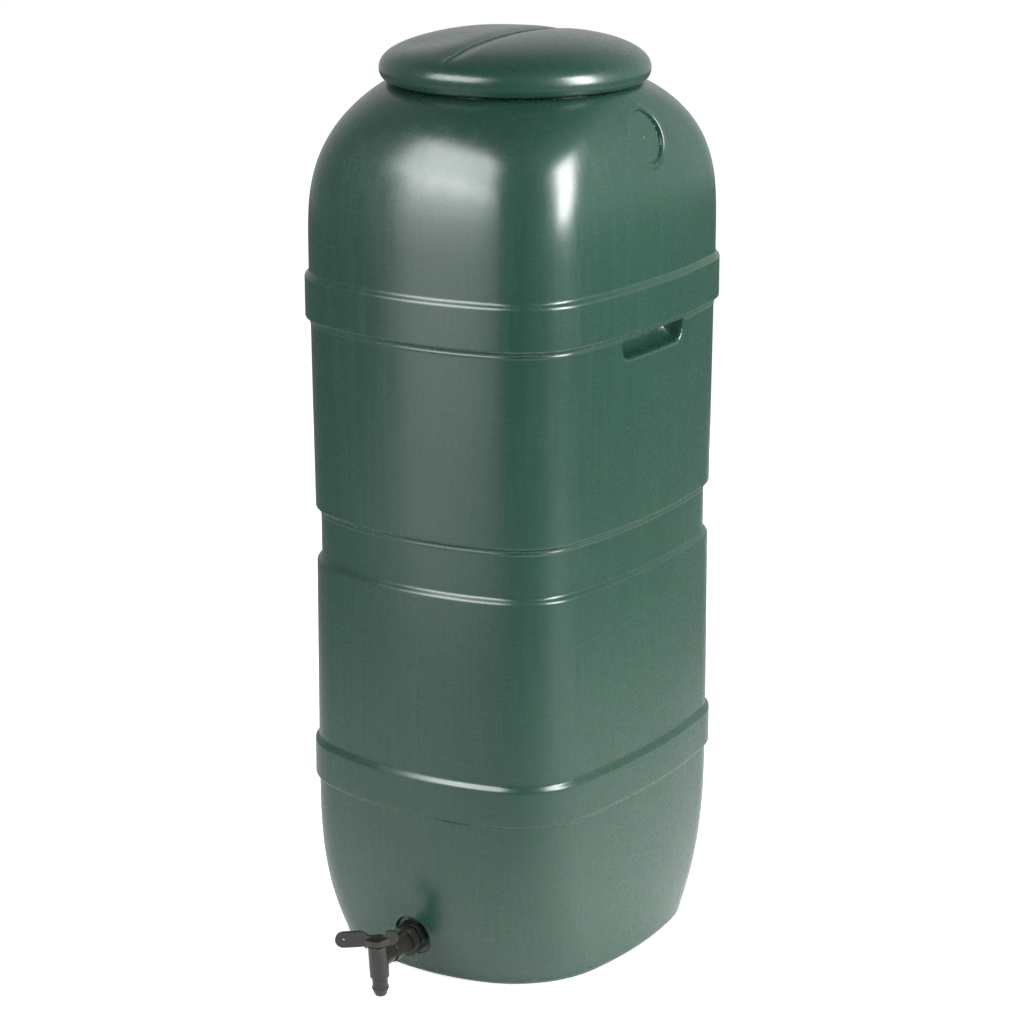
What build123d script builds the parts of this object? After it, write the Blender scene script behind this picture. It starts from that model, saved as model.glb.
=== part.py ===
from build123d import *
from math import acos, atan, cos, radians, sin, sqrt
import os

# Slim rain barrel of the 100-litre class with a round lid and a quarter-turn lever tap.
# Millimetres, +Z up, origin at the centre of the base. The tap is on the -Y side.

os.makedirs("parts", exist_ok=True)

# Tank section: four bowed sides joined by round corners
half_width = 170.3  # along X, on the plain wall
half_depth = 204.5  # along Y, on the plain wall
corner_radius = 79.0
side_arc = 9.86  # half the arc, in degrees, of each side that faces X
front_arc = 17.9  # half the arc, in degrees, of each side that faces Y
wall = 3.0
floor_thickness = 4.0

# Foot: the walls draw in and the corners grow rounder towards the base
foot_half_width = 161.0
foot_half_depth = 179.0
foot_corner = 123.0
foot_inset = 2.4  # how far the wall stands inside the plain wall at the top of the foot
heel_radius = 8.0
base_groove_outer = 105.0
base_groove_inner = 45.0
base_groove_depth = 5.0

# Bands and belt: (lower edge, upper edge, how far the wall stands out from the plain wall)
ledge_rise = 8.0  # of the edges that face up
undercut_rise = 9.0  # of the edges that face down, above their creases
lower_band = (183.0, 229.0, 1.8)
belt = (426.0, 476.0, -8.5)
upper_band = (677.0, 727.0, 4.3)
wall_above_foot = -2.3
wall_below_belt = -3.6
wall_above_belt = -3.0
wall_below_upper_band = -1.2
foot_height = lower_band[0]

# Shoulder and neck
shoulder_start = 751.0
shoulder_top = 913.6
shoulder_radius = 128.0
neck_outer_radius = 119.0
neck_wall = 3.0
neck_top = 934.0

# Grip recesses under the upper band, on both X sides
grip_length = 115.0
grip_bottom = 653.0
grip_top = 678.5
grip_depth = 21.0
grip_corner = 12.0
grip_ceiling_fillet = 3.0

# Flat round connector pads on the shoulder, on both X sides
pad_radius = 27.5
pad_tilt = 21.5
pad_x = 153.8
pad_height = 870.0

# Lid
lid_clearance = 1.2
lid_skin = 3.0
lid_radius = 138.0
lid_bottom = 914.4
lid_top = 965.0
lid_widest = 927.0
crown_pull = 24.0  # rise of the side's control point above the widest level
crown_reach = 91.0  # radius of the top's control point
crown_drop = 0.5
rim_roll = 6.0
lid_ceiling = neck_top + 0.2
valley_radius = 260.0
valley_depth = 1.5
blow_hole_radius = 3.0

# Tap: everything on the inlet axis, which points away from the tank and slightly down
tap_height = 45.5
tap_tilt = 5.0
spot_face_y = -187.5
spot_face_radius = 21.5
spot_face_wall = 3.5
shank_radius = 13.0
shank_hole_radius = 13.25
washer_radius = 15.2
washer_thickness = 2.5
connector_flats = 31.0
connector_head = 8.5
connector_bore = 10.05
nut_flats = 36.0
nut_thickness = 8.0
shank_overrun = 3.0
seal_thickness = 1.6
seal_radius = 14.0
spigot_radius = 10.0
spigot_length = 24.0
tap_flats = 30.0
tap_hex_length = 9.0
pipe_radius = 11.5
pipe_end = 45.0
pipe_neck_radius = 9.75
inlet_bore = 5.5

# Tap: everything on the valve axis, square to the inlet axis
valve_reach = 65.0  # valve axis from the spot face
valve_radius = 10.2
valve_bore = 7.2
valve_top = 18.0
valve_bottom = -17.5
tail_radius = 8.2
tail_end = -29.5
barb_radius = 8.8
barb_land = 2.0
tail_tip = -38.9
tip_radius = 6.0
outlet_bore = 4.6
plug_clearance = 0.05
plug_floor = -12.0
retainer_thickness = 2.0
stem_radius = 5.0
stem_square = 7.0
o_ring_section = 0.85
o_ring_offset = 8.5

# Lever: an upright paddle through a round hub that sits on the valve tube like a cap
lever_heading = 213.7  # direction of the long arm at rest, in degrees from +X
lever_long = 34.3  # valve axis to the centre of the round end
lever_short = 14.2
lever_end_radius = 8.7
lever_short_radius = 8.0
lever_thickness = 3.4
lever_centre = 7.6  # above the valve tube
lever_hole_radius = 1.5
waist_height = 3.0  # above the lever's centre line
waist_half_length = 5.5
arm_shoulder = 17.0  # where the long arm starts to slope down to the waist
hub_radius = 9.1
hub_drop = 0.5  # of the hub's top below the lever's centre line
hub_cap = 2.0  # thickness over the square drive
hub_flare = 13.0  # where the hub's flanks run out into the paddle
hub_gap = 0.3
cap_clearance = 0.6
stop_width = 2.0
stop_depth = 1.8

side_sin, side_cos = sin(radians(side_arc)), cos(radians(side_arc))
front_sin, front_cos = sin(radians(front_arc)), cos(radians(front_arc))


def section(height, half_x, half_y, corner):
    """Face bounded by eight tangent arcs: four bowed sides and four corners."""
    spare_x = half_x - corner
    spare_y = half_y - corner
    scale = side_sin * front_sin - (1 - front_cos) * (1 - side_cos)
    side_extra = (spare_y * front_sin - spare_x * (1 - front_cos)) / scale
    front_extra = (spare_x * side_sin - spare_y * (1 - side_cos)) / scale
    side_centre = half_x - corner - side_extra
    front_centre = half_y - corner - front_extra
    corner_x = side_centre + side_extra * side_cos
    corner_y = side_extra * side_sin
    corner_arc = 90 - side_arc - front_arc
    with BuildSketch(Plane.XY.offset(height)) as outline:
        with BuildLine():
            for sign, turn in ((1, 0), (-1, 180)):
                CenterArc((sign * side_centre, 0), corner + side_extra, turn - side_arc, 2 * side_arc)
                CenterArc((sign * corner_x, sign * corner_y), corner, turn + side_arc, corner_arc)
                CenterArc(
                    (0, sign * front_centre), corner + front_extra, turn + 90 - front_arc, 2 * front_arc
                )
                CenterArc((-sign * corner_x, sign * corner_y), corner, turn + 90 + front_arc, corner_arc)
        make_face()
    return outline.sketch


def foot_section(height, inset, floor):
    """Section of the foot, whose lowest edge is rounded by the heel."""
    heel = heel_radius - inset
    drop = max(0.0, heel - (height - floor))
    inset += heel - sqrt(heel**2 - drop**2)
    rise = height / foot_height
    grow = 1 - (1 - rise) ** 2.86
    corner_grow = 1 - (1 - rise) ** 2.56
    half_x = foot_half_width + (half_width - foot_inset - foot_half_width) * grow
    half_y = foot_half_depth + (half_depth - foot_inset - foot_half_depth) * grow
    corner = foot_corner + (corner_radius - foot_inset - foot_corner) * corner_grow
    return section(height, half_x - inset, half_y - inset, corner - inset)


def wall_section(height, stand_out):
    """Section of the plain wall, moved out by stand_out."""
    return section(height, half_width + stand_out, half_depth + stand_out, corner_radius + stand_out)


def shoulder_section(rise, inset):
    """Section of the shoulder, from the wall's shape at rise 0 to almost a circle at rise 1."""
    height = shoulder_start + (shoulder_top - inset - shoulder_start) * rise
    draw_in = (1 - rise**3.3) ** (1 / 1.2)
    corner_draw = 1 - rise**2.74
    half_x = shoulder_radius + (half_width - shoulder_radius) * draw_in
    half_y = shoulder_radius + (half_depth - shoulder_radius) * draw_in
    corner = shoulder_radius + (corner_radius - shoulder_radius) * corner_draw
    return section(height, half_x - inset, half_y - inset, corner - inset)


def step_between(bottom, top, below, above, inset):
    """The two sections that a step in the wall runs between."""
    return [wall_section(bottom, below - inset), wall_section(top, above - inset)]


def ledge(height, below, above, inset):
    """Step whose middle is at height, where the wall above stands back."""
    return step_between(height - ledge_rise / 2, height + ledge_rise / 2, below, above, inset)


def undercut(height, below, above, inset):
    """Step that starts with a crease at height, where the wall above stands out."""
    return step_between(height, height + undercut_rise, below, above, inset)


def tank_sections(inset, floor):
    """Sections of one skin of the tank, from the floor to the neck."""
    heel = heel_radius - inset
    heel_heights = [floor + heel * share for share in (0, 0.12, 0.4, 1)]
    foot_heights = heel_heights + [30, 60, 95, 135]
    foot = [foot_section(height, inset, floor) for height in foot_heights]
    banded = (
        undercut(lower_band[0], -foot_inset, lower_band[2], inset)
        + ledge(lower_band[1], lower_band[2], wall_above_foot, inset)
        + ledge(belt[0], wall_below_belt, belt[2], inset)
        + undercut(belt[1], belt[2], wall_above_belt, inset)
        + undercut(upper_band[0], wall_below_upper_band, upper_band[2], inset)
        + ledge(upper_band[1], upper_band[2], 0, inset)
    )
    rises = (0, 0.16, 0.3, 0.43, 0.55, 0.66, 0.76, 0.84, 0.9, 0.945, 0.975, 0.992, 0.999)
    shoulder = [shoulder_section(rise, inset) for rise in rises]
    return foot + banded + shoulder


def grip_sketch(face_x, grow):
    """Outline of a grip recess on a plane square to X, larger by grow all round."""
    middle = (face_x, 0, (grip_top + grip_bottom) / 2)
    with BuildSketch(Plane(origin=middle, x_dir=(0, 1, 0), z_dir=(1, 0, 0))) as outline:
        Rectangle(grip_length + 2 * grow, grip_top - grip_bottom + 2 * grow)
        fillet(outline.vertices().group_by(Axis.Z)[0], grip_corner + grow / 2)
        fillet(outline.vertices().group_by(Axis.Z)[-1], grip_ceiling_fillet)
    return outline.sketch


def pad_plane(side):
    """Plane of a connector pad; side is 1 for +X and -1 for -X."""
    outward = (side * cos(radians(pad_tilt)), 0, sin(radians(pad_tilt)))
    return Plane(origin=(side * pad_x, 0, pad_height), x_dir=(0, 1, 0), z_dir=outward)


tilt_sin, tilt_cos = sin(radians(tap_tilt)), cos(radians(tap_tilt))
inlet = Plane(
    origin=(0, spot_face_y, tap_height), x_dir=(1, 0, 0), z_dir=(0, -tilt_cos, -tilt_sin)
)
upward = Vector(0, -tilt_sin, tilt_cos)
valve_centre = inlet.from_local_coords((0, 0, valve_reach))
valve_axis = Axis(valve_centre, upward)
valve_section = inlet.offset(valve_reach)  # local X is the radius, local Y runs up the valve axis


def valve_level(height, heading=0.0):
    """Plane square to the valve axis, at a height above the inlet axis, with local X on the heading."""
    across = Vector(1, 0, 0)
    turned = across * cos(radians(heading)) + upward.cross(across) * sin(radians(heading))
    return Plane(origin=valve_centre + upward * height, x_dir=turned, z_dir=upward)


# --- Water space: what the tank leaves hollow ---

with BuildPart() as water_space:
    loft(sections=tank_sections(wall, floor_thickness), ruled=True)
    # Walls behind the grips, the connector pads, the base groove and the spot face stay solid.
    for side in (1, -1):
        extrude(
            to_extrude=grip_sketch(side * (half_width - grip_depth - wall), wall),
            amount=side * 2 * grip_depth,
            mode=Mode.SUBTRACT,
        )
        with BuildSketch(pad_plane(side).offset(-wall)):
            Circle(pad_radius + wall)
        extrude(amount=2 * pad_radius, mode=Mode.SUBTRACT)
    with BuildSketch(Plane.XY.offset(floor_thickness)):
        Circle(base_groove_outer + wall / 2)
        Circle(base_groove_inner - wall / 2, mode=Mode.SUBTRACT)
    extrude(amount=base_groove_depth, mode=Mode.SUBTRACT)
    with BuildSketch(inlet.offset(-spot_face_wall)):
        Circle(spot_face_radius + wall)
    extrude(amount=2 * spot_face_radius, mode=Mode.SUBTRACT)

# --- Barrel shell ---

with BuildPart() as barrel_shell:
    loft(sections=tank_sections(0, 0), ruled=True)
    for side in (1, -1):
        extrude(
            to_extrude=grip_sketch(side * (half_width - grip_depth), 0),
            amount=side * 2 * grip_depth,
            mode=Mode.SUBTRACT,
        )
        with BuildSketch(pad_plane(side)):
            Circle(pad_radius)
        extrude(amount=2 * pad_radius, mode=Mode.SUBTRACT)
    with BuildSketch(Plane.XY):
        Circle(base_groove_outer)
        Circle(base_groove_inner, mode=Mode.SUBTRACT)
    extrude(amount=base_groove_depth, mode=Mode.SUBTRACT)
    with BuildSketch(inlet):
        Circle(spot_face_radius)
    extrude(amount=2 * spot_face_radius, mode=Mode.SUBTRACT)
    # Neck, hollowed with the water space and opened through the top
    with BuildSketch(Plane.XY.offset(shoulder_top - wall)):
        Circle(neck_outer_radius)
    extrude(amount=neck_top - shoulder_top + wall)
    add(water_space.part, mode=Mode.SUBTRACT)
    with BuildSketch(Plane.XY.offset(neck_top)):
        Circle(neck_outer_radius - neck_wall)
    extrude(amount=-(neck_top - shoulder_top + 3 * wall), mode=Mode.SUBTRACT)
    fillet(barrel_shell.edges().filter_by(GeomType.CIRCLE).group_by(Axis.Z)[-1], neck_wall / 3)
    # Hole for the connector
    with BuildSketch(inlet.offset(-3 * spot_face_wall)):
        Circle(shank_hole_radius)
    extrude(amount=5 * spot_face_wall, mode=Mode.SUBTRACT)
barrel_shell.part.label = "barrel_shell"
export_step(barrel_shell.part, "parts/barrel_shell.step")

# --- Lid: a hollow moulding with a rolled rim ---

skirt_radius = neck_outer_radius + lid_clearance


def lid_face(skin):
    """Half section of the lid, drawn in by skin all round; skin 0 is its outer surface."""
    skirt = skirt_radius + skin
    side = lid_radius - skin
    top = lid_top - skin
    skirt_foot = (skirt, lid_bottom + rim_roll)
    rim_foot = (skirt_radius + rim_roll, lid_bottom + skin)
    with BuildSketch(Plane.XZ) as profile:
        with BuildLine():
            Polyline((0, top), (0, lid_ceiling + skin), (skirt, lid_ceiling + skin), skirt_foot)
            TangentArc(skirt_foot, rim_foot, tangent=(0, -1))
            TangentArc((side, lid_widest), rim_foot, tangent=(0, -1))
            Bezier(
                (side, lid_widest),
                (side, lid_widest + crown_pull - skin),
                (crown_reach, top - crown_drop),
                (0, top),
            )
        make_face()
    return profile.sketch


with BuildPart() as lid:
    revolve(profiles=lid_face(0), axis=Axis.Z)
    revolve(profiles=lid_face(lid_skin), axis=Axis.Z, mode=Mode.SUBTRACT)
    with BuildSketch(Plane.XZ.offset(-lid_radius)):
        with Locations((0, lid_top + valley_radius - valley_depth)):
            Circle(valley_radius)
    extrude(amount=2 * lid_radius, mode=Mode.SUBTRACT)
    with BuildSketch(Plane.XY.offset(lid_ceiling)):
        Circle(blow_hole_radius)
    extrude(amount=2 * lid_skin, mode=Mode.SUBTRACT)
lid.part.label = "lid"
export_step(lid.part, "parts/lid.step")

# --- Tap connector: bush, washers and back nut, along the inlet axis ---


def washer(inner_face):
    """Rubber washer round the connector's shank, outward from inner_face."""
    with BuildPart() as ring:
        with BuildSketch(inlet.offset(inner_face)):
            Circle(washer_radius)
            Circle(shank_hole_radius, mode=Mode.SUBTRACT)
        extrude(amount=washer_thickness)
        fillet(ring.edges().filter_by(GeomType.CIRCLE).sort_by(SortBy.RADIUS)[-2:], 0.5)
    return ring.part


nut_outer_face = -spot_face_wall - washer_thickness
shank_end = nut_outer_face - nut_thickness - shank_overrun
head_outer_face = washer_thickness + connector_head

with BuildPart() as outer_washer:
    add(washer(0))
outer_washer.part.label = "outer_washer"
export_step(outer_washer.part, "parts/outer_washer.step")

with BuildPart() as inner_washer:
    add(washer(nut_outer_face))
inner_washer.part.label = "inner_washer"
export_step(inner_washer.part, "parts/inner_washer.step")


def hexagon(flats):
    """Hexagon with flats across, two of its corners on local X."""
    RegularPolygon(radius=flats / 2, side_count=6, major_radius=False)


def bevel_cone(start, length, flats):
    """Cylinder with chamfered ends that takes the corners off a hexagonal head."""
    with BuildPart() as envelope:
        with BuildSketch(inlet.offset(start)):
            Circle(flats / sqrt(3))
        extrude(amount=length)
        chamfer(envelope.edges().filter_by(GeomType.CIRCLE), 1.6, 0.9)
    return envelope.part


head_envelope = bevel_cone(washer_thickness, connector_head, connector_flats)
with BuildPart() as tank_connector:
    with BuildSketch(inlet.offset(washer_thickness)):
        hexagon(connector_flats)
    extrude(amount=connector_head)
    add(head_envelope, mode=Mode.INTERSECT)
    with BuildSketch(inlet.offset(shank_end)):
        Circle(shank_radius)
    extrude(amount=washer_thickness - shank_end)
    with BuildSketch(inlet.offset(shank_end)):
        Circle(connector_bore)
    extrude(amount=head_outer_face - shank_end, mode=Mode.SUBTRACT)
tank_connector.part.label = "tank_connector"
export_step(tank_connector.part, "parts/tank_connector.step")

nut_envelope = bevel_cone(nut_outer_face - nut_thickness, nut_thickness, nut_flats)
with BuildPart() as connector_nut:
    with BuildSketch(inlet.offset(nut_outer_face)):
        hexagon(nut_flats)
        Circle(shank_radius + plug_clearance, mode=Mode.SUBTRACT)
    extrude(amount=-nut_thickness)
    add(nut_envelope, mode=Mode.INTERSECT)
connector_nut.part.label = "connector_nut"
export_step(connector_nut.part, "parts/connector_nut.step")

with BuildPart() as spigot_seal:
    with BuildSketch(inlet.offset(head_outer_face)):
        Circle(seal_radius)
        Circle(connector_bore, mode=Mode.SUBTRACT)
    extrude(amount=seal_thickness)
spigot_seal.part.label = "spigot_seal"
export_step(spigot_seal.part, "parts/spigot_seal.step")

# --- Tap body: spigot, hexagon, inlet pipe, valve tube and hose tail ---

tap_hex_start = head_outer_face + seal_thickness
tap_hex_end = tap_hex_start + tap_hex_length
tap_hex_envelope = bevel_cone(tap_hex_start, tap_hex_length, tap_flats)
with BuildPart() as tap_body:
    with BuildSketch(inlet.offset(tap_hex_start)):
        hexagon(tap_flats)
    extrude(amount=tap_hex_length)
    add(tap_hex_envelope, mode=Mode.INTERSECT)
    with BuildSketch(inlet.offset(tap_hex_start)):
        Circle(spigot_radius)
    extrude(amount=-spigot_length)
    with BuildSketch(inlet.offset(tap_hex_end)):
        Circle(pipe_radius)
    extrude(amount=pipe_end - tap_hex_end)
    fillet(tap_body.faces().sort_by(Axis(inlet.origin, inlet.z_dir))[-1].edges(), 0.8)
    with BuildSketch(inlet.offset(pipe_end)):
        Circle(pipe_neck_radius)
    extrude(amount=valve_reach - pipe_end)
    with BuildSketch(valve_section):
        with BuildLine():
            Polyline(
                (0, valve_top),
                (valve_radius, valve_top),
                (valve_radius, valve_bottom),
                (tail_radius, valve_bottom - (valve_radius - tail_radius)),
                (tail_radius, tail_end),
                (barb_radius, tail_end),
                (barb_radius, tail_end - barb_land),
                (tip_radius, tail_tip),
                (0, tail_tip),
                close=True,
            )
        make_face()
    revolve(axis=valve_axis)
    # Bores: inlet, plug seat and outlet
    with BuildSketch(inlet.offset(tap_hex_start - spigot_length)):
        Circle(inlet_bore)
    extrude(amount=valve_reach - tap_hex_start + spigot_length, mode=Mode.SUBTRACT)
    with BuildSketch(valve_level(valve_top)):
        Circle(valve_bore)
    extrude(amount=plug_floor - valve_top, mode=Mode.SUBTRACT)
    with BuildSketch(valve_level(valve_top)):
        Circle(outlet_bore)
    extrude(amount=tail_tip - valve_top, mode=Mode.SUBTRACT)
tap_body.part.label = "tap_body"
export_step(tap_body.part, "parts/tap_body.step")

# --- Plug with its angled port, rings and retainer, on the valve axis ---

plug_radius = valve_bore - plug_clearance
plug_top = valve_top - retainer_thickness - plug_clearance
stem_top = valve_top + hub_gap
drive_top = valve_top + lever_centre - hub_drop - hub_cap
groove_radius = plug_radius - 2 * o_ring_section
o_ring_heights = (-o_ring_offset, o_ring_offset)

with BuildPart() as tap_plug:
    with BuildSketch(valve_level(plug_floor + plug_clearance)):
        Circle(plug_radius)
    extrude(amount=plug_top - plug_floor - plug_clearance)
    with BuildSketch(valve_level(plug_top)):
        Circle(stem_radius)
    extrude(amount=stem_top - plug_top)
    with BuildSketch(valve_level(stem_top, lever_heading)):
        Rectangle(stem_square, stem_square)
    extrude(amount=drive_top - stem_top)
    # Angled port: in from the side away from the long arm, out through the bottom
    with BuildSketch(valve_level(0)):
        Circle(outlet_bore)
    extrude(amount=plug_floor, mode=Mode.SUBTRACT)
    port_level = valve_level(0, lever_heading + 180)
    port_mouth = Plane(origin=port_level.origin, x_dir=upward, z_dir=port_level.x_dir)
    with BuildSketch(port_mouth):
        Circle(outlet_bore)
    extrude(amount=2 * valve_bore, mode=Mode.SUBTRACT)
    # Grooves for the rings
    for height in o_ring_heights:
        with BuildSketch(valve_level(height - o_ring_section - plug_clearance)):
            Circle(valve_bore)
            Circle(groove_radius, mode=Mode.SUBTRACT)
        extrude(amount=2 * (o_ring_section + plug_clearance), mode=Mode.SUBTRACT)
tap_plug.part.label = "tap_plug"
export_step(tap_plug.part, "parts/tap_plug.step")

with BuildPart() as plug_o_rings:
    for height in o_ring_heights:
        with BuildSketch(valve_section):
            with Locations((groove_radius + o_ring_section + plug_clearance / 2, height)):
                Circle(o_ring_section)
        revolve(axis=valve_axis)
plug_o_rings.part.label = "plug_o_rings"
export_step(plug_o_rings.part, "parts/plug_o_rings.step")

with BuildPart() as plug_retainer:
    with BuildSketch(valve_level(valve_top)):
        Circle(valve_bore - plug_clearance / 2)
        Circle(stem_radius + plug_clearance, mode=Mode.SUBTRACT)
    extrude(amount=-retainer_thickness)
plug_retainer.part.label = "plug_retainer"
export_step(plug_retainer.part, "parts/plug_retainer.step")

# --- Lever ---

hub_bottom = valve_top + hub_gap
hub_top = valve_top + lever_centre - hub_drop
lever_level = valve_level(hub_bottom, lever_heading)  # local X runs along the long arm
lever_plane = Plane(
    origin=valve_centre + upward * (valve_top + lever_centre),
    x_dir=lever_level.x_dir,
    z_dir=lever_level.x_dir.cross(upward),
)
half_thickness = lever_thickness / 2
with BuildPart() as tap_lever:
    with BuildSketch(lever_plane):
        with BuildLine():
            Polyline(
                (arm_shoulder, lever_end_radius),
                (lever_long, lever_end_radius),
                (lever_long, -lever_end_radius),
                (-lever_short, -lever_short_radius),
                (-lever_short, lever_short_radius),
            )
            Spline(
                (-lever_short, lever_short_radius),
                (-waist_half_length, waist_height),
                tangents=((1, 0), (1, 0)),
            )
            Line((-waist_half_length, waist_height), (waist_half_length, waist_height))
            Spline(
                (waist_half_length, waist_height),
                (arm_shoulder, lever_end_radius),
                tangents=((1, 0), (1, 0)),
            )
        make_face()
        with Locations((lever_long, 0)):
            Circle(lever_end_radius)
        with Locations((-lever_short, 0)):
            Circle(lever_short_radius)
        with Locations((lever_long, 0)):
            Circle(lever_hole_radius, mode=Mode.SUBTRACT)
    extrude(amount=half_thickness, both=True)
    # The part of the paddle that reaches down past the tube's top stands clear of the tube
    with BuildSketch(lever_level):
        Circle(valve_radius + cap_clearance)
    extrude(amount=-lever_end_radius, mode=Mode.SUBTRACT)
    # Stop under the long arm, just outside the tube
    stop_middle = valve_radius + cap_clearance + stop_width / 2
    stop_top = valve_top + lever_centre - lever_end_radius + half_thickness
    with BuildSketch(valve_level(stop_top, lever_heading)):
        with Locations((stop_middle, 0)):
            Rectangle(stop_width, lever_thickness)
    extrude(amount=-stop_depth - half_thickness)
    # Hub, with flanks that run out into the paddle
    with BuildSketch(lever_level):
        Circle(hub_radius)
        flare_reach = sqrt(hub_flare**2 + half_thickness**2)
        flank = acos(hub_radius / flare_reach) + atan(half_thickness / hub_flare)
        flank_x = hub_radius * cos(flank)
        flank_y = hub_radius * sin(flank)
        with BuildLine():
            Polyline(
                (hub_flare, half_thickness),
                (flank_x, flank_y),
                (-flank_x, flank_y),
                (-hub_flare, half_thickness),
                (-hub_flare, -half_thickness),
                (-flank_x, -flank_y),
                (flank_x, -flank_y),
                (hub_flare, -half_thickness),
                close=True,
            )
        make_face()
    extrude(amount=hub_top - hub_bottom)
    with BuildSketch(lever_level):
        Rectangle(stem_square + 2 * plug_clearance, stem_square + 2 * plug_clearance)
    extrude(amount=drive_top - hub_bottom + plug_clearance, mode=Mode.SUBTRACT)
tap_lever.part.label = "tap_lever"
export_step(tap_lever.part, "parts/tap_lever.step")
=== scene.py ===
import math

import bpy
import numpy as np
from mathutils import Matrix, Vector


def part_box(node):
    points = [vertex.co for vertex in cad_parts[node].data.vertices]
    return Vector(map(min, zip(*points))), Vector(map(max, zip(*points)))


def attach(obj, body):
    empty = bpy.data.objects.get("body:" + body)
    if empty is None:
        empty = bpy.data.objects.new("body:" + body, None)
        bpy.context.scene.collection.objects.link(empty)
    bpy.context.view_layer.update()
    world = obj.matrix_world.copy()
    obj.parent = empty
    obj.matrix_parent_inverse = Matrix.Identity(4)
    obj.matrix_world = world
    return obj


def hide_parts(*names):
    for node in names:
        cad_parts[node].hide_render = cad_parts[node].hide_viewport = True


# Looks for the rain barrel: moulded skins for the tank and the lid, materials, studio and camera.
# Lengths of shapes are millimetres until make_mesh turns them into metres. Materials, lights and the
# camera are in metres.

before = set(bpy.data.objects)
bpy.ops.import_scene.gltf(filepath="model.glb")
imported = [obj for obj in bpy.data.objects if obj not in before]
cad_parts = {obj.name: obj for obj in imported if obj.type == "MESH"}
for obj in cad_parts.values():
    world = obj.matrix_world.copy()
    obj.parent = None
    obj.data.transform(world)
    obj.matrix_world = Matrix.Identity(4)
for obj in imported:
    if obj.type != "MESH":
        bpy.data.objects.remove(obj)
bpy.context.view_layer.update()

MM = 0.001
sharp_angle = math.radians(50)  # between faces that meet at a hard edge

# Tank section, as in the CAD
side_arc = math.radians(9.86)
front_arc = math.radians(17.9)
shell_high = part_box("barrel_shell")[1]
lid_low, lid_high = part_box("lid")
corner_radius = 79.0
wall = 3.0
floor_thickness = 4.0

# Bands and belt: (height, offset of the wall below it, offset above it). An undercut's height is its
# crease, and a ledge's is its middle.
band_out = 4.3
half_width = shell_high.x / MM - band_out
half_depth = shell_high.y / MM - band_out
undercuts = [(183.0, -2.4, 1.8), (476.0, -8.5, -3.0), (677.0, -1.2, band_out)]
ledges = [(229.0, 1.6, -2.3), (426.0, -3.6, -8.5), (727.0, band_out, 0.0)]
undercut_height = 7.0
bead_height = 0.55  # of the mould line just under each crease
bead_width = 1.2
bead_drop = 1.4
ledge_height = 8.0

# Foot and shoulder
foot_height = 183.0
foot_half_width = 161.0
foot_half_depth = 179.0
foot_corner = 123.0
foot_power = 2.86  # how late the wall draws in towards the base
foot_corner_power = 2.56
heel_radius = 8.0
shoulder_start = 751.0
shoulder_top = 913.6
shoulder_radius = 128.0
dome_power = 3.3  # how late the wall draws in towards the neck
dome_fullness = 1.2
dome_corner_power = 2.74
dome_limit = 0.9995  # just short of the top, where the dome is level
neck_outer_radius = 119.0
neck_inner_radius = 116.0
neck_top = shell_high.z / MM

# Grip, connector pad and spot face
grip_half_length = 59.0
grip_top = 677.0
grip_bottom = 651.5
grip_depth = 21.0
grip_end_slope = 12.0  # how far an end wall leans in
grip_ramp_height = 19.0  # how far the floor of the recess rises
grip_rim_share = 0.38  # of the slope, taken by the rounded rim
pad_radius = 27.5
pad_tilt = math.radians(21.5)
pad_x = 153.8
pad_height = 870.0
pip_radius = 1.8
pip_height = 1.5
groove_depth = 1.6  # round the pad's edge, on the side away from the tap
groove_width = 1.2
groove_inset = 0.5  # of its middle, inside the pad's edge
pad_share_low = 0.25  # of the groove and rim, left on the side towards the tap
rim_height = 1.3  # raised rim just outside the groove
rim_width = 2.4
rim_reach = 3.2  # of the rim's crest beyond the pad's edge
tap_tilt = math.radians(5.0)
spot_radius = 21.5
spot_y = -187.5
spot_height = 45.5
spot_rim_height = 0.8
spot_rim_reach = 1.0
spot_rim_width = 1.1

# Mesh: how far round a feature its points are gathered or pressed
cluster_reach = 4.0
edge_blend = 0.7  # width over which a pressed flat fades into the wall
grip_zone = (75.0, 640.0)  # half length, lowest height
pad_zone = 42.0
spot_zone = 34.0
ripple_height = 0.10


def smooth(t):
    """Eases from 0 to 1 with no slope at either end."""
    t = np.clip(t, 0.0, 1.0)
    return t * t * t * (t * (6.0 * t - 15.0) + 10.0)


def make_mesh(name, points, faces):
    """Smooth-shaded mesh object from millimetre points."""
    mesh = bpy.data.meshes.new(name)
    mesh.from_pydata((np.asarray(points) * MM).tolist(), [], faces)
    mesh.polygons.foreach_set("use_smooth", [True] * len(mesh.polygons))
    mesh.set_sharp_from_angle(angle=sharp_angle)
    mesh.update()
    made = bpy.data.objects.new(name, mesh)
    bpy.context.scene.collection.objects.link(made)
    return made


def closed_skin(rings, first_centre, last_centre):
    """Vertices and faces of a closed skin: a stack of rings with a fan at each end."""
    count, across = rings.shape[:2]
    points = np.concatenate([rings.reshape(-1, 3), [first_centre, last_centre]])
    start = count * across
    column = np.arange(across)
    following = (column + 1) % across
    faces = []
    for row in range(count - 1):
        low, high = row * across, (row + 1) * across
        strip = np.stack([low + column, low + following, high + following, high + column], axis=1)
        faces.extend(strip.tolist())
    top = (count - 1) * across
    faces.extend(np.stack([following, column, np.full(across, start)], axis=1).tolist())
    faces.extend(np.stack([top + column, top + following, np.full(across, start + 1)], axis=1).tolist())
    return points, faces


# --- Tank ---


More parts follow.
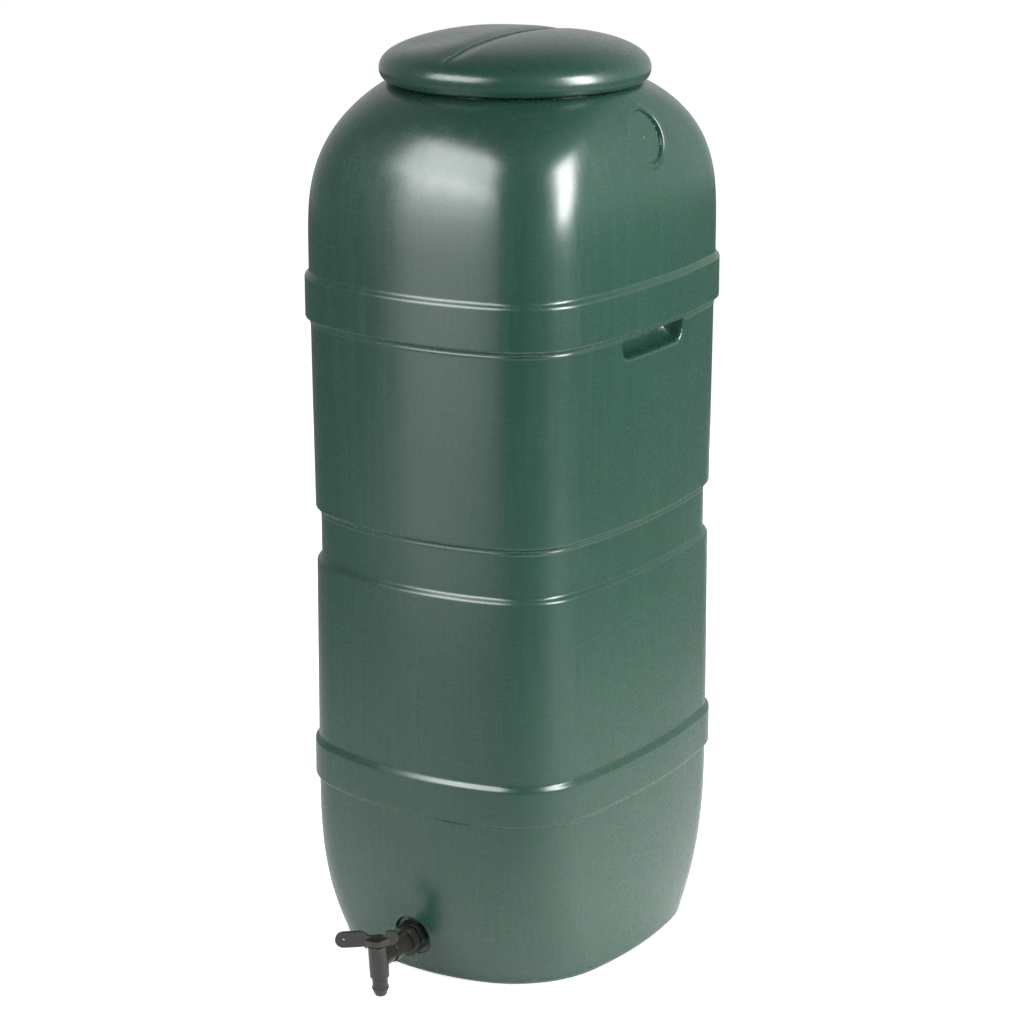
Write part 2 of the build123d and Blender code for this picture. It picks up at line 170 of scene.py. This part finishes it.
def wall_offset(z):
    """How far the wall stands out from the plain wall at height z."""
    edges = sorted(undercuts + ledges)
    flat = np.full_like(z, edges[0][1])
    for index, (height, below, above) in enumerate(edges):
        upper = edges[index + 1][0] if index + 1 < len(edges) else shoulder_start
        next_below = edges[index + 1][1] if index + 1 < len(edges) else 0.0
        share = np.clip((z - height) / (upper - height), 0.0, 1.0)
        plain = above + (next_below - above) * share
        if (height, below, above) in undercuts:
            shape = below + (plain - below) * smooth((z - height) / undercut_height)
            flat = np.where(z >= height, shape, flat)
        else:
            rise = (z - height + ledge_height / 2) / ledge_height
            shape = flat + (plain - flat) * smooth(rise)
            flat = np.where(z >= height - ledge_height / 2, shape, flat)
    for crease, _, _ in undercuts:
        flat = flat + bead_height * np.exp(-(((z - crease + bead_drop) / bead_width) ** 2))
    return flat


def tank_sizes(z):
    """Half width, half depth and corner radius of the tank at height z."""
    offset = wall_offset(z)
    rise = np.clip(z / foot_height, 0.0, 1.0)
    grow = 1.0 - (1.0 - rise) ** foot_power
    corner_grow = 1.0 - (1.0 - rise) ** foot_corner_power
    foot_a = foot_half_width + (half_width + undercuts[0][1] - foot_half_width) * grow
    foot_b = foot_half_depth + (half_depth + undercuts[0][1] - foot_half_depth) * grow
    foot_r = foot_corner + (corner_radius + undercuts[0][1] - foot_corner) * corner_grow
    up = np.clip((z - shoulder_start) / (shoulder_top - shoulder_start), 0.0, dome_limit)
    draw = (1.0 - up**dome_power) ** (1.0 / dome_fullness)
    corner_draw = 1.0 - up**dome_corner_power
    dome_a = shoulder_radius + (half_width - shoulder_radius) * draw
    dome_b = shoulder_radius + (half_depth - shoulder_radius) * draw
    dome_r = shoulder_radius + (corner_radius - shoulder_radius) * corner_draw
    in_foot, in_dome = z < foot_height, z > shoulder_start
    a = np.where(in_foot, foot_a, np.where(in_dome, dome_a, half_width + offset))
    b = np.where(in_foot, foot_b, np.where(in_dome, dome_b, half_depth + offset))
    r = np.where(in_foot, foot_r, np.where(in_dome, dome_r, corner_radius + offset))
    return a, b, r


def section_arcs(a, b, r):
    """Radii and centres of the arcs of a section: sides facing X, sides facing Y, and corners."""
    scale = math.sin(side_arc) * math.sin(front_arc) - (1 - math.cos(front_arc)) * (1 - math.cos(side_arc))
    side_extra = ((b - r) * math.sin(front_arc) - (a - r) * (1 - math.cos(front_arc))) / scale
    front_extra = ((a - r) * math.sin(side_arc) - (b - r) * (1 - math.cos(side_arc))) / scale
    side_centre = a - r - side_extra
    front_centre = b - r - front_extra
    corner_x = side_centre + side_extra * math.cos(side_arc)
    corner_y = side_extra * math.sin(side_arc)
    return r + side_extra, r + front_extra, side_centre, front_centre, corner_x, corner_y


def wall_x(y, z):
    """X of the tank's +X side at (y, z)."""
    a, b, r = tank_sizes(z)
    side_r, front_r, side_c, front_c, corner_x, corner_y = section_arcs(a, b, r)
    on_side = np.abs(y) <= side_r * math.sin(side_arc)
    bowed = side_c + np.sqrt(np.maximum(side_r**2 - y**2, 0.0))
    rounded = corner_x + np.sqrt(np.maximum(r**2 - (np.abs(y) - corner_y) ** 2, 0.0))
    return np.where(on_side, bowed, rounded)


def wall_y(x, z):
    """Y of the tank's +Y side at (x, z)."""
    a, b, r = tank_sizes(z)
    side_r, front_r, side_c, front_c, corner_x, corner_y = section_arcs(a, b, r)
    on_front = np.abs(x) <= front_r * math.sin(front_arc)
    bowed = front_c + np.sqrt(np.maximum(front_r**2 - x**2, 0.0))
    rounded = corner_y + np.sqrt(np.maximum(r**2 - (np.abs(x) - corner_x) ** 2, 0.0))
    return np.where(on_front, bowed, rounded)


def spread(half, dense_half, dense_step, step):
    """Positions from -half to half, closer together inside dense_half. The last one is left out."""
    outer = np.linspace(dense_half, half, max(2, round((half - dense_half) / step) + 1))[1:]
    inner = np.linspace(-dense_half, dense_half, round(2 * dense_half / dense_step) + 1)
    return np.concatenate([-outer[::-1], inner, outer])[:-1]


def tank_columns():
    """For each column: which arc it lies on (side, front or corner), the arc's signs and its angle."""
    side_r, front_r = section_arcs(half_width, half_depth, corner_radius)[:2]
    side_half = side_r * math.sin(side_arc)
    front_half = front_r * math.sin(front_arc)
    side = np.arcsin(spread(side_half, 66.0, 1.3, 5.0) / side_r)
    tap_side = np.arcsin(spread(front_half, 30.0, 1.3, 5.0) / front_r)
    back_side = np.arcsin(spread(front_half, 60.0, 5.0, 5.0) / front_r)
    turn = np.linspace(0.0, 1.0, 27)[:-1]
    quarter = math.pi / 2
    corner = side_arc + (quarter - side_arc - front_arc) * turn
    mirrored = front_arc + (quarter - side_arc - front_arc) * turn
    runs = [
        (0, 1, 0, side),
        (2, 1, 1, corner),
        (1, 0, 1, quarter + back_side),
        (2, -1, 1, quarter + mirrored),
        (0, -1, 0, math.pi + side),
        (2, -1, -1, math.pi + corner),
        (1, 0, -1, 3 * quarter + tap_side),
        (2, 1, -1, 3 * quarter + mirrored),
    ]
    kind = np.concatenate([np.full(len(angles), k) for k, _, _, angles in runs])
    sign_x = np.concatenate([np.full(len(angles), sx) for _, sx, _, angles in runs])
    sign_y = np.concatenate([np.full(len(angles), sy) for _, _, sy, angles in runs])
    return kind, sign_x, sign_y, np.concatenate([angles for _, _, _, angles in runs])


def tank_rows():
    """Heights of the tank's rings, close together at every edge and feature."""
    fine = [
        (heel_radius, 22.0, 4.0),
        (22.0, 70.0, 1.3),
        (70.0, 174.0, 7.0),
        (240.0, 414.0, 9.0),
        (496.0, 636.0, 9.0),
        (636.0, grip_top - 0.5, 1.2),
        (740.0, 838.0, 5.0),
        (838.0, 902.0, 1.3),
    ]
    heights = [np.arange(low, high, step) for low, high, step in fine]
    for crease, _, _ in undercuts:
        heights.append(crease + np.array([-6.0, -0.05, 0.05, 0.5]))
        heights.append(crease - bead_drop + np.linspace(-3.0, 1.0, 13))
        heights.append(crease + np.linspace(1.2, undercut_height + 2.0, 13))
    for ledge, _, _ in ledges:
        heights.append(ledge + np.linspace(-ledge_height / 2 - 3.0, ledge_height / 2 + 3.0, 22))
    heights = np.unique(np.round(np.concatenate(heights), 3))
    keep = np.concatenate([[True], np.diff(heights) > 0.05])
    top = shoulder_start + (shoulder_top - shoulder_start) * (1.0 - (1.0 - np.linspace(0, 1, 16)) ** 2)
    last = 902.0
    share = np.sin(np.linspace(0.0, math.pi / 2, 16))[1:]
    return np.concatenate([heights[keep], last + (shoulder_top - 0.01 - last) * share])


def cluster(distance, width):
    """Draws points near an edge towards it, so that the edge comes out crisp."""
    near = np.abs(distance) < width
    return np.where(near, distance * np.abs(distance) / width, distance)


def flatten_circle(across, z, centre_z, squash, radius, surface, plane):
    """Presses a round flat into a wall. Returns new (across, z, out) for points near it."""
    up = (z - centre_z) / squash
    away = np.maximum(np.hypot(across, up), 1e-6)
    moved = radius + cluster(away - radius, cluster_reach)
    scale = moved / away
    across, z = across * scale, centre_z + up * scale * squash
    out = surface(across, z)
    inside = smooth((radius + edge_blend / 2 - moved) / edge_blend)
    return across, z, out - inside * np.maximum(out - plane(z), 0.0)


def grip_press(y, z):
    """How deep the grip recess is pressed in at (y, z)."""
    across = (grip_half_length - np.abs(y)) / grip_end_slope
    up = (z - grip_bottom) / grip_ramp_height
    share = 1.0 - np.hypot(np.maximum(1.0 - across, 0.0), np.maximum(1.0 - up, 0.0))
    share = np.clip(share, 0.0, 1.0)
    depth = grip_depth * (1.0 - (1.0 - share) ** 2) * smooth(share / grip_rim_share)
    return np.where(z < grip_top, depth, 0.0)


def pad_relief(y, z):
    """Height of the pip, groove and rim over a connector pad and the wall round it."""
    away = np.hypot(y, (z - pad_height) / math.cos(pad_tilt))
    share = pad_share_low + (1.0 - pad_share_low) * smooth(0.5 + 0.7 * y / pad_radius)
    pip = pip_height * np.exp(-((away / pip_radius) ** 2))
    groove = groove_depth * np.exp(-(((away - pad_radius + groove_inset) / groove_width) ** 2))
    rim = rim_height * np.exp(-(((away - pad_radius - rim_reach) / rim_width) ** 2))
    return pip + share * (rim - groove)


def press_side(points, kind, sign_x):
    """Presses the grip recesses and the connector pads into the sides that face X."""
    x, y, z = points[..., 0], points[..., 1], points[..., 2]
    on_x = (kind == 0) | (kind == 2)
    for side in (1, -1):
        mine = on_x & (sign_x == side)
        near_grip = mine & (np.abs(y) < grip_zone[0]) & (z > grip_zone[1]) & (z < grip_top)
        x[near_grip] -= side * grip_press(y[near_grip], z[near_grip])
        near_pad = mine & (np.abs(y) < pad_zone) & (np.abs(z - pad_height) < pad_zone)
        y[near_pad], z[near_pad], out = flatten_circle(
            y[near_pad],
            z[near_pad],
            pad_height,
            math.cos(pad_tilt),
            pad_radius,
            wall_x,
            lambda height: pad_x - (height - pad_height) * math.tan(pad_tilt),
        )
        x[near_pad] = side * (out + pad_relief(y[near_pad], z[near_pad]))


def press_spot_face(points, kind, sign_y):
    """Presses the flat for the tap's washer into the side that faces -Y."""
    x, y, z = points[..., 0], points[..., 1], points[..., 2]
    close = (np.abs(x) < spot_zone) & (np.abs(z - spot_height) < spot_zone)
    near = (kind == 1) & (sign_y == -1) & close
    x[near], z[near], out = flatten_circle(
        x[near],
        z[near],
        spot_height,
        math.cos(tap_tilt),
        spot_radius,
        wall_y,
        lambda height: -spot_y + (height - spot_height) * math.tan(tap_tilt),
    )
    away = np.hypot(x[near], (z[near] - spot_height) / math.cos(tap_tilt))
    share = smooth(0.4 + 0.35 * (x[near] + z[near] - spot_height) / spot_radius)
    rim = spot_rim_height * np.exp(-(((away - spot_radius - spot_rim_reach) / spot_rim_width) ** 2))
    y[near] = -out - share * rim


def ripple(points, normals):
    """Slow, shallow waves that a blown wall has, over the whole skin, the edges of features included."""
    x, y, z = points[..., 0], points[..., 1], points[..., 2]
    waves = (
        np.sin(x / 37.0 + 1.3) * np.sin(z / 61.0 + 0.4)
        + np.sin(y / 29.0 + 2.1) * np.sin(z / 83.0 + 1.9)
        + 0.5 * np.sin((x + y) / 19.0) * np.sin(z / 41.0 + 0.7)
    )
    return points + normals * (ripple_height * waves)[..., None]


def grid_normals(points):
    """Outward unit normals of a grid of points, ring by ring."""
    along = np.gradient(points, axis=0)
    around = np.roll(points, -1, axis=1) - np.roll(points, 1, axis=1)
    normals = np.cross(around, along)
    return normals / np.maximum(np.linalg.norm(normals, axis=-1, keepdims=True), 1e-9)


def ring_at(directions, radius, z):
    """Circle of the tank's columns at one radius and height."""
    return np.column_stack([directions * radius, np.full(len(directions), z)])


def tank_points():
    """Grid of points on the tank's outside, with its recesses and flats pressed in."""
    kind, sign_x, sign_y, angle = tank_columns()
    z = tank_rows()[:, None]
    a, b, r = tank_sizes(z)
    side_r, front_r, side_c, front_c, corner_x, corner_y = section_arcs(a, b, r)
    radius = np.where(kind == 0, side_r, np.where(kind == 1, front_r, r))
    centre_x = np.where(kind == 0, side_c, np.where(kind == 1, 0.0, corner_x)) * sign_x
    centre_y = np.where(kind == 0, 0.0, np.where(kind == 1, front_c, corner_y)) * sign_y
    height = np.broadcast_to(z, radius.shape)
    points = np.stack(
        [centre_x + radius * np.cos(angle), centre_y + radius * np.sin(angle), height], axis=-1
    )
    kind, sign_x, sign_y = (np.broadcast_to(k, radius.shape) for k in (kind, sign_x, sign_y))
    press_side(points, kind, sign_x)
    press_spot_face(points, kind, sign_y)
    return ripple(points, grid_normals(points))


def build_tank():
    """One closed skin for the tank: base, heel, wall, shoulder, neck and inside."""
    body = tank_points()
    normals = grid_normals(body)
    flat = body[0, :, :2]
    directions = flat / np.linalg.norm(flat, axis=1, keepdims=True)
    # Heel and base: rounded edge, then flat with a ring-shaped groove
    heel = []
    for turn in np.linspace(math.pi / 2, 0.12, 7):
        inset = heel_radius * (1.0 - math.cos(turn))
        low = heel_radius * (1.0 - math.sin(turn))
        heel.append(np.column_stack([flat - directions * inset, np.full(len(flat), low)]))
    base_rings = [
        ring_at(directions, radius, z)
        for radius, z in (
            (2.0, 0.0), (43.0, 0.0), (45.0, 0.4), (47.5, 4.6), (50.0, 5.0),
            (99.0, 5.0), (102.0, 4.6), (105.0, 0.4), (107.0, 0.0),
        )
    ]
    edge = heel[0].copy()
    for share in (0.3, 0.6, 0.85):
        base_rings.append(base_rings[-1] * (1 - share) + edge * share)
    # Neck: shoulder, fillet, outside, rounded lip, inside
    neck = [
        ring_at(directions, neck_outer_radius + reach, shoulder_top + lift)
        for reach, lift in ((5.0, 0.05), (2.2, 0.3), (0.7, 0.9), (0.1, 2.2))
    ]
    middle = (neck_outer_radius + neck_inner_radius) / 2
    lip = (neck_outer_radius - neck_inner_radius) / 2
    for turn in np.linspace(0.0, math.pi, 9):
        lip_height = neck_top - lip + lip * math.sin(turn)
        neck.append(ring_at(directions, middle + lip * math.cos(turn), lip_height))
    neck.append(ring_at(directions, neck_inner_radius, shoulder_top - 2.0))
    # Inside: the outer skin drawn in by the wall
    inner = (body - normals * wall)[-14::-4]
    floor = [
        ring_at(directions, radius, floor_thickness + lift)
        for radius, lift in ((108.0, 0.0), (105.0, 5.0), (46.0, 5.0), (43.0, 0.0), (2.0, 0.0))
    ]
    rings = np.array(base_rings + heel + list(body) + neck + list(inner) + floor)
    points, faces = closed_skin(rings, (0, 0, 0), (0, 0, floor_thickness))
    skin = make_mesh("barrel_skin", points, faces)
    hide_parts("barrel_shell")
    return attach(skin, "barrel")


# --- Lid ---

lid_radius = lid_high.x / MM
lid_bottom = lid_low.z / MM
lid_top = lid_high.z / MM
lid_widest = 927.0
skirt_radius = 120.2
lid_ceiling = neck_top + 0.2
rim_roll = 6.0
crown_drop = 1.5  # of the plain dome below the lid's top
crown_pull = 24.0  # rise of the side's control point above the widest level
crown_push = (91.0, 0.4)  # radius of the top's control point, and its drop below the crown
crown_rings = 64
valley_depth = 3.0
valley_width = 12.0
seam_height = 1.4  # mould line across the lid
seam_width = 1.0


def bump(x, y, centre_x, centre_y, reach_x, reach_y):
    """Round swelling of height 1."""
    return np.exp(-(((x - centre_x) / reach_x) ** 2) - ((y - centre_y) / reach_y) ** 2)


def lid_relief(x, y):
    """Height of the lid's lobes, dent, valley and mould line over its plain dome."""
    away = np.hypot(x, y) / lid_radius
    fade = 1.0 - smooth((away - 0.72) / 0.26)
    lobes = 1.7 * bump(x, y, -74, 40, 45, 52) + 2.4 * bump(x, y, 62, 0, 50, 72)
    dent = 2.6 * bump(x, y, -72, -66, 44, 36)
    valley = valley_depth * np.exp(-((x / valley_width) ** 2))
    seam = seam_height * np.exp(-((x / seam_width) ** 2)) * (1.0 - smooth((away - 0.86) / 0.1))
    return fade * (lobes - dent - valley) + seam


def build_lid():
    """One closed skin for the lid: crown, rolled rim, skirt and ceiling."""
    across = 360
    turn = np.arange(across) * 2 * math.pi / across
    directions = np.column_stack([np.cos(turn), np.sin(turn)])
    crown = lid_top - crown_drop
    start, end = np.array([lid_radius, lid_widest]), np.array([0.0, crown])
    pull = np.array([lid_radius, lid_widest + crown_pull])
    push = np.array([crown_push[0], crown - crown_push[1]])
    t = np.linspace(0.0, 0.985, crown_rings)[::-1, None]
    top = (1 - t) ** 3 * start + 3 * (1 - t) ** 2 * t * pull + 3 * (1 - t) * t**2 * push + t**3 * end
    profile = [tuple(p) for p in top]
    rim_foot = skirt_radius + rim_roll
    roll_x, roll_z = lid_radius - rim_foot, lid_widest - lid_bottom
    for turn_down in np.linspace(0.0, math.pi / 2, 15)[1:]:
        profile.append((rim_foot + roll_x * math.cos(turn_down), lid_widest - roll_z * math.sin(turn_down)))
    for turn_in in np.linspace(math.pi / 2, 0.0, 8)[1:]:
        profile.append(
            (rim_foot - rim_roll * math.cos(turn_in), lid_bottom + rim_roll * (1 - math.sin(turn_in)))
        )
    profile += [(skirt_radius, lid_ceiling - 2.0), (skirt_radius - 0.6, lid_ceiling - 0.6)]
    profile += [(skirt_radius - 2.0, lid_ceiling), (60.0, lid_ceiling), (3.0, lid_ceiling)]
    rings = np.array([np.column_stack([directions * r, np.full(across, z)]) for r, z in profile])
    drawn = rings[:crown_rings]
    drawn[..., 0] = cluster(drawn[..., 0], cluster_reach)
    drawn[..., 2] += lid_relief(drawn[..., 0], drawn[..., 1])
    centre = crown + lid_relief(np.array(0.0), np.array(0.0))
    points, faces = closed_skin(rings[::-1], (0, 0, lid_ceiling), (0, 0, float(centre)))
    skin = make_mesh("lid_skin", points, faces)
    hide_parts("lid")
    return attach(skin, "lid")


# --- Materials ---


class Nodes:
    """Short way to build a node material."""

    def __init__(self, name):
        self.material = bpy.data.materials.new(name)
        self.material.use_nodes = True
        self.tree = self.material.node_tree
        self.shader = self.tree.nodes["Principled BSDF"]

    def add(self, kind, **settings):
        node = self.tree.nodes.new(kind)
        for key, value in settings.items():
            if key in node.inputs:
                node.inputs[key].default_value = value
            else:
                setattr(node, key, value)
        return node

    def link(self, source, target):
        self.tree.links.new(source, target)

    def place(self, scale=(1, 1, 1)):
        """Object coordinates in metres, scaled."""
        coordinates = self.add("ShaderNodeTexCoord")
        mapping = self.add("ShaderNodeMapping")
        mapping.inputs["Scale"].default_value = scale
        self.link(coordinates.outputs["Object"], mapping.inputs["Vector"])
        return mapping.outputs["Vector"]

    def noise(self, place, scale, detail=3.0, roughness=0.5):
        made = self.add("ShaderNodeTexNoise", Scale=scale, Detail=detail, Roughness=roughness)
        self.link(place, made.inputs["Vector"])
        return made.outputs["Fac"]

    def ramp(self, value, low, high, out_low, out_high):
        made = self.add("ShaderNodeMapRange")
        keys = ("From Min", "From Max", "To Min", "To Max")
        for key, number in zip(keys, (low, high, out_low, out_high)):
            made.inputs[key].default_value = number
        self.link(value, made.inputs["Value"])
        return made.outputs["Result"]

    def math(self, operation, first, second):
        made = self.add("ShaderNodeMath", operation=operation)
        for socket, value in zip(made.inputs, (first, second)):
            if isinstance(value, (int, float)):
                socket.default_value = value
            else:
                self.link(value, socket)
        return made.outputs["Value"]

    def mix_colour(self, share, first, second):
        made = self.add("ShaderNodeMix", data_type="RGBA")
        self.link(share, made.inputs["Factor"])
        for socket, value in ((made.inputs["A"], first), (made.inputs["B"], second)):
            if isinstance(value, tuple):
                socket.default_value = value
            else:
                self.link(value, socket)
        return made.outputs["Result"]

    def bump(self, height, strength, distance, before=None):
        made = self.add("ShaderNodeBump", Strength=strength, Distance=distance)
        self.link(height, made.inputs["Height"])
        if before is not None:
            self.link(before, made.inputs["Normal"])
        return made.outputs["Normal"]


def green_plastic(name):
    """Blown polyethylene: dark green, semi-gloss, with faint upright draw streaks, grain and scuffs."""
    n = Nodes(name)
    plain = n.place()
    streaks = n.noise(n.place((1, 1, 0.06)), 90.0, 4.0, 0.6)
    cloud = n.noise(plain, 7.0, 3.0, 0.5)
    grain = n.noise(plain, 1400.0, 2.0, 0.5)
    peel = n.noise(plain, 150.0, 3.0, 0.55)
    scuffs = n.noise(n.place((1, 1, 5)), 60.0, 6.0, 0.75)
    deep, plainer = (0.0108, 0.043, 0.0287, 1), (0.0124, 0.048, 0.0322, 1)
    pale = (0.0172, 0.0555, 0.0385, 1)
    colour = n.mix_colour(n.ramp(cloud, 0.35, 0.65, 0, 1), deep, plainer)
    colour = n.mix_colour(n.ramp(streaks, 0.45, 0.75, 0, 0.11), colour, pale)
    n.link(colour, n.shader.inputs["Base Color"])
    rough = n.math("ADD", n.ramp(streaks, 0.3, 0.7, 0.23, 0.29), n.ramp(scuffs, 0.45, 0.8, 0.0, 0.05))
    n.link(rough, n.shader.inputs["Roughness"])
    n.shader.inputs["IOR"].default_value = 1.6
    normal = n.bump(peel, 0.06, 0.0006)
    normal = n.bump(scuffs, 0.025, 0.0004, normal)
    normal = n.bump(grain, 0.10, 0.00012, normal)
    n.link(normal, n.shader.inputs["Normal"])
    return n.material


def black_plastic(name):
    """Moulded black plastic with a fine spark texture and slightly worn, paler high spots."""
    n = Nodes(name)
    plain = n.place()
    spark = n.noise(plain, 2600.0, 2.0, 0.5)
    wear = n.noise(plain, 260.0, 5.0, 0.7)
    new, worn = (0.0150, 0.0150, 0.0128, 1), (0.0195, 0.0195, 0.0168, 1)
    colour = n.mix_colour(n.ramp(wear, 0.45, 0.75, 0, 1), new, worn)
    n.link(colour, n.shader.inputs["Base Color"])
    n.link(n.ramp(wear, 0.3, 0.7, 0.20, 0.27), n.shader.inputs["Roughness"])
    rounded = n.add("ShaderNodeBevel", Radius=0.0008)
    n.link(n.bump(spark, 0.10, 0.0001, rounded.outputs["Normal"]), n.shader.inputs["Normal"])
    return n.material


def rubber(name):
    """Matte black rubber with a dusty bloom."""
    n = Nodes(name)
    plain = n.place()
    bloom = n.noise(plain, 340.0, 5.0, 0.65)
    colour = n.mix_colour(n.ramp(bloom, 0.4, 0.7, 0, 1), (0.008, 0.008, 0.008, 1), (0.020, 0.020, 0.019, 1))
    n.link(colour, n.shader.inputs["Base Color"])
    n.shader.inputs["Roughness"].default_value = 0.75
    n.link(n.bump(bloom, 0.2, 0.0002), n.shader.inputs["Normal"])
    return n.material


def pale_floor():
    """Plain pale studio floor, darker away from the tank but evenly bright to the camera."""
    n = Nodes("floor_pale")
    length = n.add("ShaderNodeVectorMath", operation="LENGTH")
    n.link(n.place(), length.inputs[0])
    far = n.ramp(length.outputs["Value"], 0.25, 1.2, 0, 1)
    colour = n.mix_colour(far, (0.82, 0.82, 0.81, 1), (0.25, 0.25, 0.25, 1))
    n.link(colour, n.shader.inputs["Base Color"])
    n.shader.inputs["Roughness"].default_value = 0.7
    n.shader.inputs["Emission Color"].default_value = (1, 1, 1, 1)
    eye = n.add("ShaderNodeLightPath").outputs["Is Camera Ray"]
    glow = n.ramp(far, 0, 1, 0.26, 0.05)
    seen = n.ramp(far, 0, 1, 0.70, 1.0)
    unseen = n.math("SUBTRACT", 1.0, eye)
    glow = n.math("ADD", n.math("MULTIPLY", glow, unseen), n.math("MULTIPLY", seen, eye))
    n.link(glow, n.shader.inputs["Emission Strength"])
    return n.material


def paint(target, material):
    """Gives a piece its only material."""
    target.data.materials.clear()
    target.data.materials.append(material)


# --- Studio ---

floor_radius = 6.0


def lit_group(name, pieces):
    """Set of pieces that a light can be limited to."""
    group = bpy.data.collections.new(name)
    for piece in pieces:
        group.objects.link(piece)
    return group


def soft_box(name, azimuth, distance, bottom, top, width, radiance, aim, gloss=True, lights=None):
    """Rectangular light standing beside the tank and facing its axis at the height aim.

    Azimuth 0 is in front of the tap side, and it grows towards +X. With gloss it makes highlights
    alone, and without it fills in the plain colour alone. A group given as lights limits it to those."""
    light = bpy.data.lights.new(name, "AREA")
    light.shape = "RECTANGLE"
    light.size, light.size_y = width, top - bottom
    light.energy = radiance * math.pi * light.size * light.size_y
    lamp = bpy.data.objects.new(name, light)
    turn = math.radians(azimuth)
    lamp.location = (math.sin(turn) * distance, -math.cos(turn) * distance, (bottom + top) / 2)
    lamp.rotation_mode = "QUATERNION"
    lamp.rotation_quaternion = (Vector((0.0, 0.0, aim)) - lamp.location).to_track_quat("-Z", "Y")
    lamp.visible_camera = False
    lamp.visible_diffuse = not gloss
    lamp.visible_glossy = gloss
    lamp.light_linking.receiver_collection = lights
    bpy.context.scene.collection.objects.link(lamp)


def build_floor():
    """Round pale floor that glows a little, like a lit studio sweep."""
    edge = [
        (floor_radius / MM * math.cos(turn), floor_radius / MM * math.sin(turn), 0.0)
        for turn in np.linspace(0.0, 2 * math.pi, 97)[:-1]
    ]
    floor = make_mesh("floor", edge, [tuple(range(len(edge)))])
    paint(floor, pale_floor())


def build_studio():
    """Floor, lights and a surround that is brighter behind and dimmer above, and white to the camera."""
    build_floor()
    body_group = lit_group("body_group", [tank, *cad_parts.values()])
    lid_group = lit_group("lid_group", [lid])
    strip_step = 0.27
    for step in range(5):
        low = 0.05 + strip_step * step
        top = low + strip_step
        soft_box(f"strip_left_{step}", -13, 1.25, low, top, 0.80, 0.8 * 1.9**step, low, lights=body_group)
    soft_box("key_left", -19, 1.25, 1.40, 2.30, 1.10, 9.6, 1.00, lights=body_group)
    soft_box("key_lid", -19, 1.25, 1.28, 2.00, 1.10, 9.0, 1.00, lights=lid_group)
    soft_box("key_right", 91, 1.40, 0.80, 1.90, 0.52, 24.0, 0.90)
    soft_box("fill_left", -25, 2.0, 0.05, 1.30, 1.40, 7.6, 0.40, gloss=False)
    soft_box("fill_right", 91, 1.6, 0.05, 1.50, 0.90, 12.0, 0.40, gloss=False)
    soft_box("fill_back", 200, 2.0, 0.05, 1.50, 1.60, 4.5, 0.50, gloss=False)
    soft_box("fill_top", 80, 0.8, 2.10, 2.50, 1.20, 13.0, 0.95, gloss=False)
    world = bpy.data.worlds.new("studio")
    bpy.context.scene.world = world
    world.use_nodes = True
    tree = world.node_tree
    surround = tree.nodes["Background"]
    surround.inputs["Color"].default_value = (1, 1, 1, 1)
    backdrop = tree.nodes.new("ShaderNodeBackground")
    backdrop.inputs["Color"].default_value = (1, 1, 1, 1)
    direction = tree.nodes.new("ShaderNodeTexCoord")
    axes = tree.nodes.new("ShaderNodeSeparateXYZ")
    glow = tree.nodes.new("ShaderNodeMapRange")
    for key, value in (("From Min", -0.8), ("From Max", 0.8), ("To Min", 0.09), ("To Max", 0.70)):
        glow.inputs[key].default_value = value
    tree.links.new(direction.outputs["Generated"], axes.inputs["Vector"])
    tree.links.new(axes.outputs["Y"], glow.inputs["Value"])
    shade = tree.nodes.new("ShaderNodeMapRange")
    for key, value in (("From Min", 0.35), ("From Max", 0.9), ("To Min", 1.0), ("To Max", 0.3)):
        shade.inputs[key].default_value = value
    tree.links.new(axes.outputs["Z"], shade.inputs["Value"])
    strength = tree.nodes.new("ShaderNodeMath")
    strength.operation = "MULTIPLY"
    tree.links.new(glow.outputs["Result"], strength.inputs[0])
    tree.links.new(shade.outputs["Result"], strength.inputs[1])
    tree.links.new(strength.outputs["Value"], surround.inputs["Strength"])
    path = tree.nodes.new("ShaderNodeLightPath")
    mix = tree.nodes.new("ShaderNodeMixShader")
    tree.links.new(path.outputs["Is Camera Ray"], mix.inputs["Fac"])
    tree.links.new(surround.outputs["Background"], mix.inputs[1])
    tree.links.new(backdrop.outputs["Background"], mix.inputs[2])
    tree.links.new(mix.outputs["Shader"], tree.nodes["World Output"].inputs["Surface"])
    bpy.context.scene.view_settings.view_transform = "Standard"


def build_camera():
    """Camera about 3.3 m away with a long lens, above and to the right of the tap side."""
    data = bpy.data.cameras.new("camera")
    data.sensor_width = 36.0
    data.lens = 110.36
    data.shift_x, data.shift_y = -0.0030, -0.0123
    camera = bpy.data.objects.new("camera", data)
    bpy.context.scene.collection.objects.link(camera)
    azimuth, elevation, distance = math.radians(33.72), math.radians(16.20), 3.302
    level = math.cos(elevation)
    away = Vector((math.sin(azimuth) * level, -math.cos(azimuth) * level, math.sin(elevation)))
    camera.location = Vector((0.0, 0.0, 0.4713)) + away * distance
    camera.rotation_mode = "QUATERNION"
    camera.rotation_quaternion = (-away).to_track_quat("-Z", "Y")
    bpy.context.scene.camera = camera


tank = build_tank()
lid = build_lid()
green = green_plastic("green_polyethylene")
paint(tank, green)
paint(lid, green)
black = black_plastic("black_plastic")
dark_rubber = rubber("black_rubber")
rubber_nodes = ("outer_washer", "inner_washer", "spigot_seal", "plug_o_rings")
for node_name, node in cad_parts.items():
    if node_name not in ("barrel_shell", "lid"):
        paint(node, dark_rubber if node_name in rubber_nodes else black)
build_studio()
build_camera()
